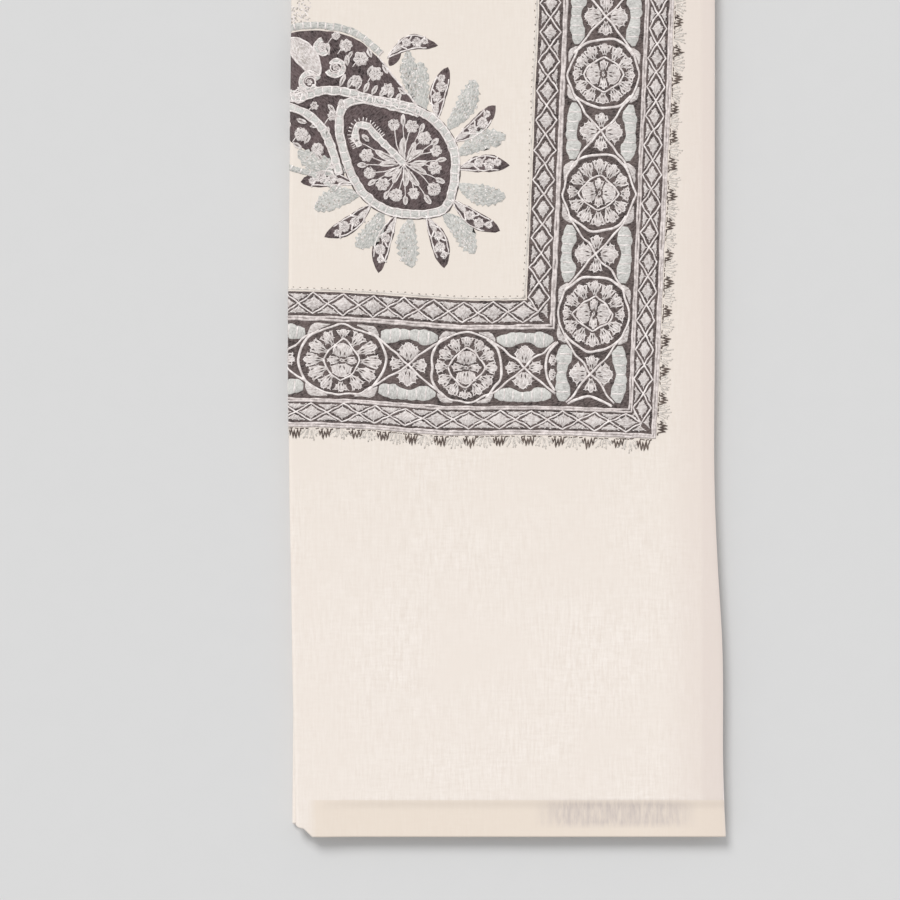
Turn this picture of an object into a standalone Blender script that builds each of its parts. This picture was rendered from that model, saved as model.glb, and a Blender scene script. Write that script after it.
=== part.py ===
"""A fine wool shawl, folded once across its length and then back and forth in four across its width.

Metres, +Z up. The stack lies flat on z = 0 with its length along Y: the fold across the length is at -Y,
the cloth's two ends are at +Y, and the top pass has its selvedge at +X and its first fold at -X.
"""

import math
from collections import namedtuple

import bmesh
import bpy
from mathutils import Vector

# The cloth, and the stack that it makes
SHEET = 0.001  # thickness of the woven cloth
LAYER_GAP = 0.0004  # air between two layers
FOLDED_LENGTH = 1.0  # half of the 2 m shawl
FOLDED_WIDTH = 0.263  # widest part of the stack, a little over a quarter of the 1 m shawl
PASSES = 4  # times the doubled cloth crosses the stack

LAYER_PITCH = SHEET + LAYER_GAP
PASS_PITCH = 2 * LAYER_PITCH
FOLD_RADIUS = PASS_PITCH / 2  # of the middle of the doubled cloth, at a side fold
HALF_LAYER = LAYER_PITCH / 2  # from the middle of the doubled cloth to either of its layers
DOUBLED_HALF = HALF_LAYER + SHEET / 2  # from that middle to the outer face
END_SLIP = 0.004  # the under half of the cloth ends this far short of the upper half

# Where the sides of the stack lie: how far each is inside the widest line, at a height up the stack
Side = namedtuple("Side", "up upper_fold lower_fold top_selvedge inner_fold low_selvedge")
SIDES = (
    Side(0.000, 0.0046, 0.0020, 0.0000, 0.0078, 0.0072),
    Side(0.030, 0.0040, 0.0022, 0.0014, 0.0080, 0.0074),
    Side(0.120, 0.0022, 0.0026, 0.0024, 0.0082, 0.0078),
    Side(0.160, 0.0016, 0.0024, 0.0048, 0.0084, 0.0080),
    Side(0.200, 0.0008, 0.0020, 0.0066, 0.0086, 0.0082),
    Side(0.300, 0.0000, 0.0016, 0.0068, 0.0088, 0.0084),
    Side(0.500, 0.0018, 0.0024, 0.0067, 0.0090, 0.0086),
    Side(0.760, 0.0008, 0.0018, 0.0060, 0.0084, 0.0080),
    Side(1.000, 0.0020, 0.0030, 0.0050, 0.0080, 0.0074),
)

# How high the cross fold lies above the bottom line. It rises round the side folds, and the two inner
# passes end well short of the outer ones. A pass is followed the way the cloth runs, from its start (0)
# to its end (1), and a side fold is the step from one pass's end to the next one's start.
Rise = namedtuple("Rise", "along height")
INNER_SHORT = 0.0225
CORNER_SHARE = 0.05  # the part of a pass that the turned-up corner takes
CROSS_FOLD = (
    (Rise(0.0, 0.0), Rise(1 - CORNER_SHARE, 0.0), Rise(1.0, 0.0055)),
    (Rise(0.0, 0.0085), Rise(CORNER_SHARE, INNER_SHORT), Rise(1.0, INNER_SHORT)),
    (Rise(0.0, INNER_SHORT), Rise(1 - CORNER_SHARE, INNER_SHORT), Rise(1.0, 0.0075)),
    (Rise(0.0, 0.0060), Rise(CORNER_SHARE, 0.0015), Rise(1.0, 0.0010)),
)

# The top pass drops where no inner pass holds it up
SAG = 0.0026
SAG_RUN = 0.007  # length of the slope down to it
SAG_CLEAR = (0.016, 0.045)  # it starts and is full this far in from the side fold

# How finely the cloth is divided
ALONG_PASS = (0.0, 0.02, 0.05, 0.10, 0.18, 0.35, 0.65, 0.82, 0.90, 0.95, 0.98, 1.0)
UP_CLOTH = (0.0, 0.002, 0.005, 0.009, 0.013, 0.017, 0.021, 0.024, 0.035, 0.07, 0.12, 0.16, 0.20, 0.30, 0.50,
            0.76, 1.0)
FOLD_STEPS = 8  # in each half turn


def smooth(t):
    """Eases from 0 to 1."""
    t = min(max(t, 0.0), 1.0)
    return t * t * (3 - 2 * t)


def between(rows, key, column, value):
    """Reads a column of a table between its rows, with a slope that stays even from row to row."""
    xs = [getattr(row, key) for row in rows]
    ys = [getattr(row, column) for row in rows]
    i = max(k for k in range(len(xs) - 1) if k == 0 or xs[k] <= value)
    span = xs[i + 1] - xs[i]
    t = min(max((value - xs[i]) / span, 0.0), 1.0)

    def slope(k):
        lo, hi = max(k - 1, 0), min(k + 1, len(xs) - 1)
        return (ys[hi] - ys[lo]) / (xs[hi] - xs[lo]) * span

    start, end = slope(i), slope(i + 1)
    rise = ys[i + 1] - ys[i]
    return ys[i] + start * t + (3 * rise - 2 * start - end) * t**2 + (start + end - 2 * rise) * t**3


def pass_ends(number, up):
    """The x where a pass starts and where it ends, at a height up the stack."""
    half = FOLDED_WIDTH / 2
    upper = -half + between(SIDES, "up", "upper_fold", up) + DOUBLED_HALF + FOLD_RADIUS
    lower = -half + between(SIDES, "up", "lower_fold", up) + DOUBLED_HALF + FOLD_RADIUS
    inner = half - between(SIDES, "up", "inner_fold", up) - DOUBLED_HALF - FOLD_RADIUS
    selvedge = half - between(SIDES, "up", "top_selvedge", up)
    low_selvedge = half - between(SIDES, "up", "low_selvedge", up)
    return ((selvedge, upper), (upper, inner), (inner, lower), (lower, low_selvedge))[number]


def pass_height(number):
    return DOUBLED_HALF + (PASSES - 1 - number) * PASS_PITCH


def sag(x, up, fold_x):
    """How far the top pass sinks over the strip that no inner pass holds up."""
    down = smooth((INNER_SHORT - up) / SAG_RUN)
    start, full = SAG_CLEAR
    return SAG * down * smooth((x - fold_x - start) / (full - start))


Station = namedtuple("Station", "number along turn rise")


def stations():
    """The places where the doubled cloth is bent or read, from the top selvedge to the lowest one."""
    found = []
    for number, rises in enumerate(CROSS_FOLD):
        for along in ALONG_PASS:
            height = rises[0].height + sum(
                (b.height - a.height) * smooth((along - a.along) / (b.along - a.along))
                for a, b in zip(rises, rises[1:])
            )
            found.append(Station(number, along, 0.0, height))
        if number < PASSES - 1:
            start, end = rises[-1].height, CROSS_FOLD[number + 1][0].height
            for step in range(1, FOLD_STEPS):
                share = step / FOLD_STEPS
                found.append(Station(number, 1.0, math.pi * share, start + (end - start) * share))
    return found


def middle(station, up):
    """The middle of the doubled cloth at a station, and the way its outer layer lies from there."""
    start, end = pass_ends(station.number, up)
    x = start + (end - start) * station.along
    z = pass_height(station.number)
    side = -1 if station.number % 2 == 0 else 1  # the way this pass runs along X
    bend = FOLD_RADIUS * Vector((side * math.sin(station.turn), 0, math.cos(station.turn) - 1))
    outer = Vector((-math.sin(station.turn), 0, -side * math.cos(station.turn)))
    place = Vector((x, 0, z)) + bend
    if station.number == 0:
        place.z -= sag(x, up, end)
    return place, outer


def cloth_point(station, shear, row, rows_up):
    """A point of the cloth: rows run down the upper half, round the cross fold and up the under half."""
    last_up = len(rows_up) - 1
    depth = HALF_LAYER * shear
    foot = station.rise + SHEET / 2 + depth
    if row <= last_up:
        layer, up = HALF_LAYER, foot + rows_up[last_up - row] * (FOLDED_LENGTH - foot)
    elif row < last_up + FOLD_STEPS:
        turn = math.pi * (row - last_up) / FOLD_STEPS
        layer, up = HALF_LAYER * math.cos(turn), foot - depth * math.sin(turn)
    else:
        length = FOLDED_LENGTH - END_SLIP - foot
        layer, up = -HALF_LAYER, foot + rows_up[row - last_up - FOLD_STEPS] * length
    place, outer = middle(station, up)
    return place + outer * layer + Vector((0, up - FOLDED_LENGTH / 2, 0))


def shears(places):
    """How much longer the cross fold is drawn at each station where its line runs aslant."""
    found = []
    for i, station in enumerate(places):
        before, after = places[max(i - 1, 0)], places[min(i + 1, len(places) - 1)]
        run = (middle(after, station.rise)[0] - middle(before, station.rise)[0]).length
        found.append(math.hypot(1.0, (after.rise - before.rise) / run))
    return found


def fold_cloth(material, collection):
    """A flat grid of cloth, moved to where each of its points lies in the stack, then given its thickness."""
    places = stations()
    drawn = shears(places)
    rows = 2 * len(UP_CLOTH) + FOLD_STEPS - 1
    mesh = bpy.data.meshes.new("shawl_cloth")
    bm = bmesh.new()
    bmesh.ops.create_grid(bm, x_segments=len(places) - 1, y_segments=rows - 1, size=0.5)
    for vert in bm.verts:
        column = round((vert.co.x + 0.5) * (len(places) - 1))
        row = round((vert.co.y + 0.5) * (rows - 1))
        vert.co = cloth_point(places[column], drawn[column], row, UP_CLOTH)
    bm.to_mesh(mesh)
    bm.free()
    mesh.materials.append(material)
    mesh.shade_smooth()
    cloth = bpy.data.objects.new("shawl_cloth", mesh)
    collection.objects.link(cloth)
    thickness = cloth.modifiers.new("Thickness", "SOLIDIFY")
    thickness.thickness = SHEET
    thickness.offset = 0
    thickness.use_even_offset = True
    return cloth


def cream_wool():
    material = bpy.data.materials.new("cream_wool")
    material.use_nodes = True
    shader = material.node_tree.nodes["Principled BSDF"]
    shader.inputs["Base Color"].default_value = (0.871, 0.791, 0.723, 1)
    shader.inputs["Roughness"].default_value = 0.9
    shader.inputs["Metallic"].default_value = 0.0
    return material


for old in list(bpy.data.objects):
    bpy.data.objects.remove(old)

shawl = bpy.data.collections.new("folded_shawl")
bpy.context.scene.collection.children.link(shawl)
fold_cloth(cream_wool(), shawl)
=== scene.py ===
import itertools
import math
from collections import namedtuple

import bmesh
import bpy
import numpy as np
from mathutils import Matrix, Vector, noise


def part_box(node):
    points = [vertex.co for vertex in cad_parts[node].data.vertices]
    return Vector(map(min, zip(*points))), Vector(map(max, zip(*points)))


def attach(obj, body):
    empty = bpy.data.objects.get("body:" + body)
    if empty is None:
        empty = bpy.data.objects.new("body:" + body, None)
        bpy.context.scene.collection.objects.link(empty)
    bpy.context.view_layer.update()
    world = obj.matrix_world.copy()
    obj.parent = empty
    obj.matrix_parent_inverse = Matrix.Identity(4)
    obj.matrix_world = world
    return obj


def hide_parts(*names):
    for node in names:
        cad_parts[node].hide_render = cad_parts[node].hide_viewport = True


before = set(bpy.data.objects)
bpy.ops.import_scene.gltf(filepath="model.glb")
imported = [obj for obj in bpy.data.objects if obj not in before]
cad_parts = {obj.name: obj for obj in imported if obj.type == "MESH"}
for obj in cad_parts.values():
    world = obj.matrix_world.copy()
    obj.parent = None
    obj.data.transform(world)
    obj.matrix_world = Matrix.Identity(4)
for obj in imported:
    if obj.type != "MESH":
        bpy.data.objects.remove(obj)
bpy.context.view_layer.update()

# ---------------------------------------------------------------------------
# The shawl cloth. One sheet of fine cream wool, plain-woven and left undyed, 1.0 by 2.0 m with plain
# selvedges. It is folded once across its length, then back and forth in four across its width, and pressed
# by its own weight into eight soft layers.
low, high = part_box("shawl_cloth")
HALF_WIDTH = (high.x - low.x) / 2
FOOT = low.y  # the line of the fold across the length
LENGTH = high.y - low.y
PASSES = 4
WOOL = 0.0007  # thickness of the cloth
LAYER_PITCH = 0.0014  # from the middle of a layer to the next one's
HALF_LAYER = LAYER_PITCH / 2
PASS_PITCH = 2 * LAYER_PITCH
TURN = PASS_PITCH / 2  # radius of a side fold, at the middle of the doubled cloth
FACE = HALF_LAYER + WOOL / 2  # from that middle to the outer face
END_SLIP = 0.004  # the under half ends this far short of the upper half
TOP_MIDDLE = FACE + (PASSES - 1) * PASS_PITCH

# Where the sides lie: how far each is inside the widest line, at a height up the stack
Side = namedtuple("Side", "up upper_fold lower_fold top_selvedge inner_fold low_selvedge")
SIDES = (
    Side(0.000, 0.0046, 0.0020, 0.0000, 0.0078, 0.0072),
    Side(0.030, 0.0040, 0.0022, 0.0014, 0.0080, 0.0074),
    Side(0.120, 0.0022, 0.0026, 0.0024, 0.0082, 0.0078),
    Side(0.160, 0.0016, 0.0024, 0.0048, 0.0084, 0.0080),
    Side(0.200, 0.0008, 0.0020, 0.0066, 0.0086, 0.0082),
    Side(0.300, 0.0000, 0.0016, 0.0068, 0.0088, 0.0084),
    Side(0.500, 0.0018, 0.0024, 0.0067, 0.0090, 0.0086),
    Side(0.760, 0.0008, 0.0018, 0.0060, 0.0084, 0.0080),
    Side(1.000, 0.0020, 0.0030, 0.0050, 0.0080, 0.0074),
)

# How high the cross fold lies along each pass. The inner two passes stop short of the outer ones.
Rise = namedtuple("Rise", "along height")
INNER_SHORT = 0.0225
CORNER_SHARE = 0.05
CROSS_FOLD = (
    (Rise(0.0, 0.0), Rise(0.970, 0.0), Rise(0.990, 0.0050), Rise(1.0, 0.0055)),
    (Rise(0.0, 0.0085), Rise(CORNER_SHARE, INNER_SHORT), Rise(1.0, INNER_SHORT)),
    (Rise(0.0, INNER_SHORT), Rise(1 - CORNER_SHARE, INNER_SHORT), Rise(1.0, 0.0075)),
    (Rise(0.0, 0.0060), Rise(CORNER_SHARE, 0.0015), Rise(1.0, 0.0010)),
)

SAG = 0.0009  # the top pass sinks where no inner pass holds it up
SAG_RUN = 0.0050
SAG_CLEAR = (0.014, 0.030)
ROLL = 0.0003  # the selvedge dips over the edge of the fold below it
ROLL_RUN = 0.011
RELIEF = 0.00022  # soft unevenness of every layer
RELIEF_REACH = 0.055

FOLD_STEPS = 10
ALONG_PASS = np.concatenate([np.linspace(0, 0.06, 7), np.linspace(0.10, 0.90, 17), np.linspace(0.94, 1, 7)])
UP_CLOTH = np.concatenate([np.linspace(0, 0.027, 15), np.linspace(0.036, 1, 82)])


def ease(t):
    """Eases from 0 to 1."""
    t = min(max(t, 0.0), 1.0)
    return t * t * (3 - 2 * t)


def smooth_line(xs, ys):
    """A function that reads a smooth line through these points."""
    slopes = np.gradient(ys, xs)

    def read(x):
        i = min(max(int(np.searchsorted(xs, x, side="right")) - 1, 0), len(xs) - 2)
        span = xs[i + 1] - xs[i]
        t = min(max((x - xs[i]) / span, 0.0), 1.0)
        rise, start, end = ys[i + 1] - ys[i], slopes[i] * span, slopes[i + 1] * span
        return ys[i] + start * t + (3 * rise - 2 * start - end) * t**2 + (start + end - 2 * rise) * t**3

    return read


side_lines = {
    column: smooth_line([row.up for row in SIDES], [getattr(row, column) for row in SIDES])
    for column in Side._fields[1:]
}


def fold_edge(up, column="upper_fold"):
    """The x where the flat of the cloth ends and a fold on the left begins."""
    return -HALF_WIDTH + side_lines[column](up) + FACE + TURN


def pass_ends(number, up):
    """The x where a pass of the doubled cloth starts and ends, at a height up the stack."""
    upper, lower = fold_edge(up), fold_edge(up, "lower_fold")
    inner = HALF_WIDTH - side_lines["inner_fold"](up) - FACE - TURN
    selvedge = HALF_WIDTH - side_lines["top_selvedge"](up)
    low_selvedge = HALF_WIDTH - side_lines["low_selvedge"](up)
    return ((selvedge, upper), (upper, inner), (inner, lower), (lower, low_selvedge))[number]


def relief(across, along):
    """The unevenness of the cloth at a place on the flat sheet."""
    return RELIEF * noise.noise(Vector((across / RELIEF_REACH, along / RELIEF_REACH, 0.7)))


def dip(x, up):
    """How far the top pass lies below the level of the stack."""
    sunk = SAG * ease((INNER_SHORT - up) / SAG_RUN)
    sunk *= ease((x - fold_edge(up) - SAG_CLEAR[0]) / (SAG_CLEAR[1] - SAG_CLEAR[0]))
    inner = HALF_WIDTH - side_lines["inner_fold"](up) - FACE - TURN
    return sunk + ROLL * ease((x - inner) / ROLL_RUN)


def added(name, data):
    """A new object with this data, in the scene."""
    made = bpy.data.objects.new(name, data)
    bpy.context.collection.objects.link(made)
    return made


def fold_shawl():
    """The flat sheet as a grid, with each point put where it lies in the stack."""
    stations = []
    for number, rises in enumerate(CROSS_FOLD):
        for along in ALONG_PASS:
            height = rises[0].height + sum(
                (b.height - a.height) * ease((along - a.along) / (b.along - a.along))
                for a, b in zip(rises, rises[1:])
            )
            stations.append((number, along, 0.0, height))
        if number < PASSES - 1:
            start, end = rises[-1].height, CROSS_FOLD[number + 1][0].height
            for step in range(1, FOLD_STEPS):
                share = step / FOLD_STEPS
                stations.append((number, 1.0, math.pi * share, start + (end - start) * share))
    turns = [math.pi * k / FOLD_STEPS for k in range(1, FOLD_STEPS)]
    rows = [(1, up) for up in UP_CLOTH[::-1]]
    rows += [(math.cos(turn), -math.sin(turn)) for turn in turns]
    rows += [(-1, up) for up in UP_CLOTH]
    points, places = [], []
    for number, along, turn, height in stations:
        foot = height + HALF_LAYER + WOOL / 2
        side = -1 if number % 2 == 0 else 1
        outer = Vector((-math.sin(turn), 0, -side * math.cos(turn)))
        for layer, up in rows:
            if abs(layer) < 1:
                rise = foot + HALF_LAYER * up
            else:
                rise = foot + up * (LENGTH - foot - (END_SLIP if layer < 0 else 0))
            start, end = pass_ends(number, rise)
            x = start + (end - start) * along
            run = number * 2 * HALF_WIDTH + (HALF_WIDTH - x if number == 0 else abs(x - start)) + TURN * turn
            middle = FACE + (PASSES - 1 - number) * PASS_PITCH - (dip(x, rise) if number == 0 else 0)
            bent = side * TURN * math.sin(turn), TURN * (math.cos(turn) - 1)
            place = Vector((x + bent[0], FOOT + rise, middle + bent[1]))
            along_sheet = rise if layer > 0 else -rise
            lift = HALF_LAYER * layer
            if number < PASSES - 1 or layer <= 0:  # the lowest layer lies flat on what is under it
                lift += relief(run, along_sheet)
            points.append(place + outer * lift)
            places.append((run, along_sheet))
    wide = len(rows)
    faces = [
        (i * wide + j, i * wide + j + 1, (i + 1) * wide + j + 1, (i + 1) * wide + j)
        for i in range(len(stations) - 1)
        for j in range(wide - 1)
    ]
    mesh = bpy.data.meshes.new("shawl")
    mesh.from_pydata(points, [], faces)
    flat = mesh.uv_layers.new(name="Cloth")
    for loop in mesh.loops:
        flat.data[loop.index].uv = places[loop.vertex_index]
    mesh.shade_smooth()
    made = added("shawl", mesh)
    thickness = made.modifiers.new("Thickness", "SOLIDIFY")
    thickness.thickness = WOOL
    thickness.offset = 0
    thickness.use_even_offset = True
    made.modifiers.new("Flat faces, crisp selvedges", "WEIGHTED_NORMAL")
    return made


def node(tree, kind, *values, out=0, **settings):
    """Adds a shader node, sets or links its inputs in order, and gives back one of its outputs."""
    made = tree.nodes.new("ShaderNode" + kind)
    for name, value in settings.items():
        setattr(made, name, value)
    for socket, value in zip(made.inputs, values):
        if isinstance(value, bpy.types.NodeSocket):
            tree.links.new(value, socket)
        elif value is not None:
            socket.default_value = value
    return made.outputs[out]


def maths(tree, operation, *values):
    return node(tree, "Math", *values, operation=operation)


def spread(tree, value, start=0.36, end=0.64, low=0.0, high=1.0):
    """A value stretched from one range to another. A noise seldom leaves the range it starts with."""
    return node(tree, "MapRange", value, start, end, low, high)


def blend(tree, factor, first, second):
    """A colour between two others."""
    made = tree.nodes.new("ShaderNodeMix")
    made.data_type = "RGBA"
    for index, value in ((0, factor), (6, first), (7, second)):
        if isinstance(value, bpy.types.NodeSocket):
            tree.links.new(value, made.inputs[index])
        else:
            made.inputs[index].default_value = value
    return made.outputs[2]


def tint(red, green, blue):
    """A colour from the numbers of a colour chart, 11 to 255."""
    return (*(((c / 255 + 0.055) / 1.055) ** 2.4 for c in (red, green, blue)), 1)


def effect(name, inputs, outputs):
    """A shader node group with these sockets, each a name and a kind, and its two end nodes."""
    tree = bpy.data.node_groups.new(name, "ShaderNodeTree")
    for label, kind, value in inputs:
        socket = tree.interface.new_socket(name=label, in_out="INPUT", socket_type="NodeSocket" + kind)
        if value is not None:
            socket.default_value = value
    for label, kind in outputs:
        tree.interface.new_socket(name=label, in_out="OUTPUT", socket_type="NodeSocket" + kind)
    return tree, tree.nodes.new("NodeGroupInput"), tree.nodes.new("NodeGroupOutput")


def plain_weave():
    """Warp and weft that pass over and under each other, with the thicker yarns of hand-spun wool."""
    tree, given, result = effect(
        "Plain weave",
        [("Place", "Vector", None), ("Threads per metre", "Float", 2200.0)],
        [("Height", "Float"), ("Slub", "Float")],
    )
    place, threads = given.outputs[:2]
    fine = node(tree, "VectorMath", place, operation="SCALE")
    tree.links.new(threads, fine.node.inputs["Scale"])
    x, y, _ = node(tree, "SeparateXYZ", fine).node.outputs
    yarns = []
    for way in (x, y):
        turned = maths(tree, "MULTIPLY", way, math.pi)
        yarns.append(maths(tree, "ABSOLUTE", maths(tree, "SINE", turned)))
    steps = [maths(tree, "FLOOR", way) for way in (x, y)]
    checker = maths(tree, "MULTIPLY", maths(tree, "ADD", *steps), 0.5)
    over = maths(tree, "GREATER_THAN", maths(tree, "FRACT", checker), 0.25)
    weave = node(tree, "Mix", over, None, yarns[0], yarns[1])
    streaks = []
    for stretch in ((640, 70, 1), (110, 520, 1)):  # along the warp, then along the weft
        drawn_out = node(tree, "VectorMath", place, stretch, operation="MULTIPLY")
        streaks.append(node(tree, "TexNoise", drawn_out, None, 1.0, 3.0, 0.7))
    slub = spread(tree, node(tree, "Mix", 0.35, None, *streaks))
    tree.links.new(node(tree, "Mix", 0.45, None, weave, slub), result.inputs["Height"])
    tree.links.new(slub, result.inputs["Slub"])
    return tree


weave_group = plain_weave()


def placed(tree, group, **values):
    """A node group placed in a material with its own values."""
    made = tree.nodes.new("ShaderNodeGroup")
    made.node_tree = group
    for name, value in values.items():
        socket = made.inputs[name.replace("_", " ")]
        if isinstance(value, bpy.types.NodeSocket):
            tree.links.new(value, socket)
        else:
            socket.default_value = value
    return made.outputs


def new_material(name, roughness, sheen):
    material = bpy.data.materials.new(name)
    material.use_nodes = True
    shader = material.node_tree.nodes["Principled BSDF"]
    shader.inputs["Roughness"].default_value = roughness
    shader.inputs["Sheen Weight"].default_value = sheen
    shader.inputs["Sheen Roughness"].default_value = 0.5
    shader.inputs["Specular IOR Level"].default_value = 0.25
    return material, material.node_tree, shader


def band_mask(tree, value, start, end, soft):
    """1 between two values of a coordinate and 0 outside, with soft ends."""
    rising = spread(tree, value, start - soft, start + soft)
    falling = spread(tree, value, end - soft, end + soft, 1.0, 0.0)
    return maths(tree, "MULTIPLY", rising, falling)


OUTSIDE = -0.01  # beyond the selvedge, across the flat sheet


def cream_wool():
    """Undyed wool. It is a little sheer, so painted shade makes it darker and warmer where fewer layers lie
    under it, painted grey shadows stand for the stitching of the layer below showing through beside the cross
    fold, and a painted highlight runs along the selvedge."""
    material, tree, shader = new_material("cream wool", 0.85, 0.12)
    flat = node(tree, "UVMap", uv_map="Cloth")
    across, along, _ = node(tree, "SeparateXYZ", flat).node.outputs
    weave = placed(tree, weave_group, Place=flat)
    colour = blend(tree, weave["Slub"], tint(234, 223, 213), tint(251, 243, 236))
    clouds = node(tree, "TexNoise", flat, None, 14.0, 3.0, 0.5)
    colour = blend(tree, spread(tree, clouds, 0.3, 0.7), colour, tint(241, 231, 222))
    colour = blend(tree, spread(tree, along, 0.13, 0.30, high=0.5), colour, tint(235, 225, 214))

    # Beside the selvedge one layer, then two, lie under the top one, and painted shade darkens and warms the
    # cloth there. The selvedge itself is packed, and its pale line is partly a painted highlight on its
    # rounded edge.
    selvedge_shade_and_highlight = (
        (0.0145, 0.0012, 0.5, tint(224, 211, 205)),
        (0.0290, 0.0090, 0.5, tint(231, 218, 210)),
        (0.0017, 0.0005, 0.6, tint(250, 241, 242)),
    )
    for reach, soft, share, tone in selvedge_shade_and_highlight:
        mask = band_mask(tree, across, OUTSIDE, reach, soft)
        colour = blend(tree, maths(tree, "MULTIPLY", mask, share), colour, tone)

    # Along the cross fold no inner pass lies under it, so a darker, warmer strip of painted shade lies there,
    # and painted grey shadows stand for the back of some stitching showing through
    drawn_out = node(tree, "VectorMath", flat, (430, 90, 1), operation="MULTIPLY")
    marks = spread(tree, node(tree, "TexNoise", drawn_out, None, 1.0, 3.0, 0.6), low=0.3)
    strip = band_mask(tree, along, -INNER_SHORT, INNER_SHORT, 0.0003)
    strip = maths(tree, "MULTIPLY", strip, band_mask(tree, across, OUTSIDE, 0.2485, 0.0030))
    shadow = band_mask(tree, across, 0.026, 0.106, 0.010)
    shadow = maths(tree, "MULTIPLY", shadow, band_mask(tree, along, 0.007, 0.0218, 0.002))
    shadow = maths(tree, "MULTIPLY", shadow, marks)
    # Paints the shade strip and the show-through shadows into the colour
    for mask, tone in ((strip, tint(235, 221, 206)), (shadow, tint(200, 189, 185))):
        colour = blend(tree, maths(tree, "MULTIPLY", mask, 0.75), colour, tone)
    tree.links.new(colour, shader.inputs["Base Color"])
    bump = node(tree, "Bump", 0.25, 0.0002, None, weave["Height"])
    tree.links.new(bump, shader.inputs["Normal"])
    return material


shawl = fold_shawl()
shawl.data.materials.append(cream_wool())
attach(shawl, "root")
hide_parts("shawl_cloth")


# ---------------------------------------------------------------------------
# The border's ground. Dark brown thread is worked flat over the whole width of the border in close filling
# stitches, and everything lighter is laid on it. The border turns one corner and lies a little askew,
# because the cloth was not folded quite square.
OUTER_CORD = (0.0000, 0.0029)  # each lane of the border, from its outer line inwards
OUTER_STRIP = (0.0037, 0.0146)
MIDDLE_CORD = (0.0150, 0.0175)
BAND = (0.0185, 0.0628)
INNER_CORD = (0.0636, 0.0666)
INNER_STRIP = (0.0675, 0.0803)
EDGE_LINE = 0.0824

CORNER = Vector((high.x - 0.0419, FOOT + 0.2395))  # the outer corner of the border
UPRIGHT_SKEW = math.radians(2.4)
LEVEL_SKEW = math.radians(1.9)
STRAIGHTENS = (0.42, 0.20)  # the upright arm comes square from here on, over this length
DROOP = (0.122, 0.036, 0.0020)  # the level arm hangs low here: where, how widely and how far
ARM_SWAY, SWAY_REACH = 0.0004, 0.045  # how far the whole arm wanders, and over what length
LEVEL_END = 0.236
UPRIGHT_END = 0.746
GROUND_LIFT = 0.00016
SUNK = -0.0002  # where the sides of a shape end, inside the cloth
CELL = 0.009  # how finely a wide shape is cut, so that it follows the cloth

stroke_number = itertools.count(1)


def wander(x, y, seed):
    """A smooth uneven shift, the same each time for the same place and seed."""
    return Vector([noise.noise(Vector((x + 9.3 * k, y - 1.7 * k, seed + 7.9 * k))) for k in (1, 2, 3)])


def drawn(across, up):
    """A place on the flat top of the stack, from one in the border's own square frame."""
    start, run = STRAIGHTENS
    over = max(up - start, 0)
    leaning = min(over, run)
    x = across * math.cos(LEVEL_SKEW)
    x += math.sin(UPRIGHT_SKEW) * (min(up, start) + leaning - leaning**2 / (2 * run))
    y = up * math.cos(UPRIGHT_SKEW) - across * math.sin(LEVEL_SKEW)
    y -= DROOP[2] * math.exp(-(((across + DROOP[0]) / DROOP[1]) ** 2))
    place = CORNER + Vector((x, y))
    return place + ARM_SWAY * wander(place.x / SWAY_REACH, place.y / SWAY_REACH, 4.0).xy


def upright(along, across):
    """A place on the arm that runs up the selvedge side."""
    return drawn(-across, along)


def level(along, across):
    """A place on the arm that runs to the side fold."""
    return drawn(-along, across)


def on(arm, points):
    """The places on an arm of these points, each given by how far it is along and across it."""
    return [arm(*p) for p in points]


def straight(points, step=0.002):
    """The places about every step along straight runs between the points."""
    found = []
    for a, b in zip(points, points[1:]):
        count = max(1, round((b - a).length / step))
        found += [a.lerp(b, k / count) for k in range(count)]
    return found + [points[-1]]


def curve(points, step=0.0014, closed=False):
    """The places about every step along a smooth line through the points."""
    points = [Vector(p) for p in points]
    n, found = len(points), []
    for i in range(n if closed else n - 1):
        near = [(i + k) % n if closed else min(max(i + k, 0), n - 1) for k in (-1, 0, 1, 2)]
        a, b, c, d = (points[k] for k in near)
        count = max(1, round((c - b).length / step))
        for t in (k / count for k in range(count)):
            bend = (2 * a - 5 * b + 4 * c - d) * t**2 + (3 * b - a - 3 * c + d) * t**3
            found.append(0.5 * (2 * b + (c - a) * t + bend))
    return found if closed else found + [points[-1]]


def by_hand(path, sway=0.0003, reach=0.005):
    """The path with the small swings of work done by hand: how far they go, and about how long each is."""
    turn = next(stroke_number) * 3.7
    return [p + sway * wander(p.x / reach, p.y / reach, turn).xy for p in path]


def way_at(path, i):
    """The way a path runs at one of its points."""
    return (path[min(i + 1, len(path) - 1)] - path[max(i - 1, 0)]).normalized()


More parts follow.
